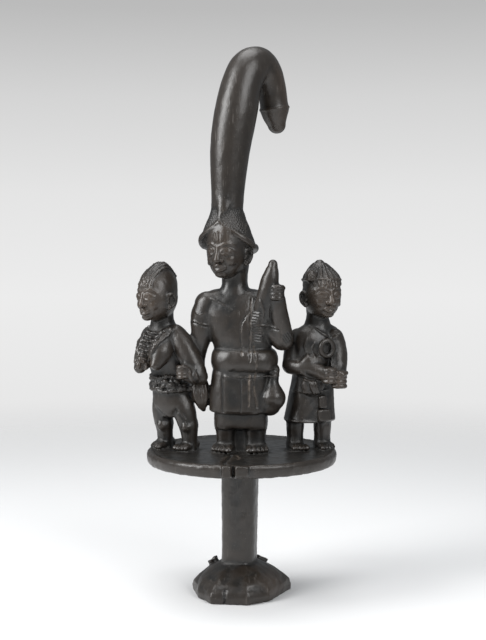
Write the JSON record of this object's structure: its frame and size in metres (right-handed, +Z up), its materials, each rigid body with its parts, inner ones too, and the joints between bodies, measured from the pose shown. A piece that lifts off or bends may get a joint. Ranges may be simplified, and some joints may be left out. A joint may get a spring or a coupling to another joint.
{
  "type": "carved wooden dance staff with figures",
  "caption": "Carved dark wooden dance staff on a flared foot: a disc platform with a tall clubbed figure, a woman and a man, and a coiffure drawn up into a hooked shaft",
  "frame": {"origin": "centre of the foot's flat underside", "axes": "+Z up along the staff from the foot to the hook, the figures' fronts towards -Y, the woman at -X and the man at +X"},
  "size_m": [0.2045, 0.1817, 0.523],
  "materials": {
    "wood": "hand-rubbed dark patina, low gloss"
  },
  "bodies": {
    "root": {"dance_staff": "wood"}
  },
  "joints": []
}
